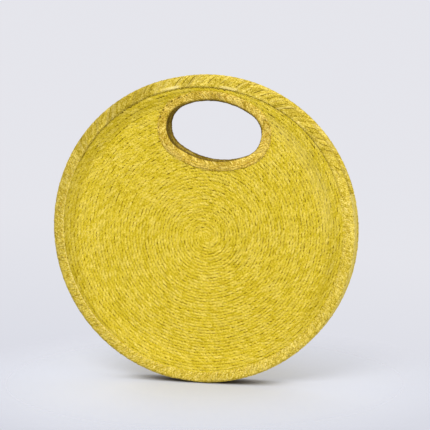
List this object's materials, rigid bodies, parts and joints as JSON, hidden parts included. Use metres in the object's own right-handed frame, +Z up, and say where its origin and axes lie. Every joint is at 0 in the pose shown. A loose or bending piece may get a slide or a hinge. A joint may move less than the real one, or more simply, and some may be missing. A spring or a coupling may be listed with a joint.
{
  "type": "round straw handbag",
  "caption": "Flat round handbag of spiral-sewn dyed palm braid, with an oval hand hole through both panels, a narrow gusset and an open mouth along the top.",
  "frame": {"origin": "middle of the foot, on the floor, half way between the two panels", "axes": "+Z up, the front panel faces -Y, +X to the right seen from the front"},
  "size_m": [0.38, 0.0402, 0.379],
  "materials": {
    "panel_straw": "yellow-dyed palm braid sewn in a spiral, dry and slightly waxy",
    "binding_braid": "yellow-dyed palm plait folded over the edge",
    "handle_braid": "yellow-brown palm plait folded round the hand hole, rubbed by use",
    "sewing_thread": "matt sewing thread close to the colour of the straw"
  },
  "bodies": {
    "bag_body": {"front_panel_lower": "panel_straw", "front_rim_binding": "binding_braid", "front_rim_stitches": "sewing_thread", "back_panel_lower": "panel_straw", "back_rim_binding": "binding_braid", "back_rim_stitches": "sewing_thread", "side_gusset": "panel_straw"},
    "front_flap": {"front_panel_upper": "panel_straw", "front_mouth_binding": "binding_braid", "front_handle_binding": "handle_braid", "front_mouth_stitches": "sewing_thread", "front_handle_stitches": "sewing_thread"},
    "back_flap": {"back_panel_upper": "panel_straw", "back_mouth_binding": "binding_braid", "back_handle_binding": "handle_braid", "back_mouth_stitches": "sewing_thread", "back_handle_stitches": "sewing_thread"}
  },
  "joints": [
    {"name": "front_mouth_flex", "type": "hinge", "parent": "bag_body", "child": "front_flap", "pos_m": [0, -0.0192, 0.258], "axis": [1, 0, 0], "range_deg": [-3, 25], "stiffness_Nm_per_rad": 1.4},
    {"name": "back_mouth_flex", "type": "hinge", "parent": "bag_body", "child": "back_flap", "pos_m": [0, 0.0192, 0.258], "axis": [-1, 0, 0], "range_deg": [-3, 25], "stiffness_Nm_per_rad": 1.4}
  ]
}
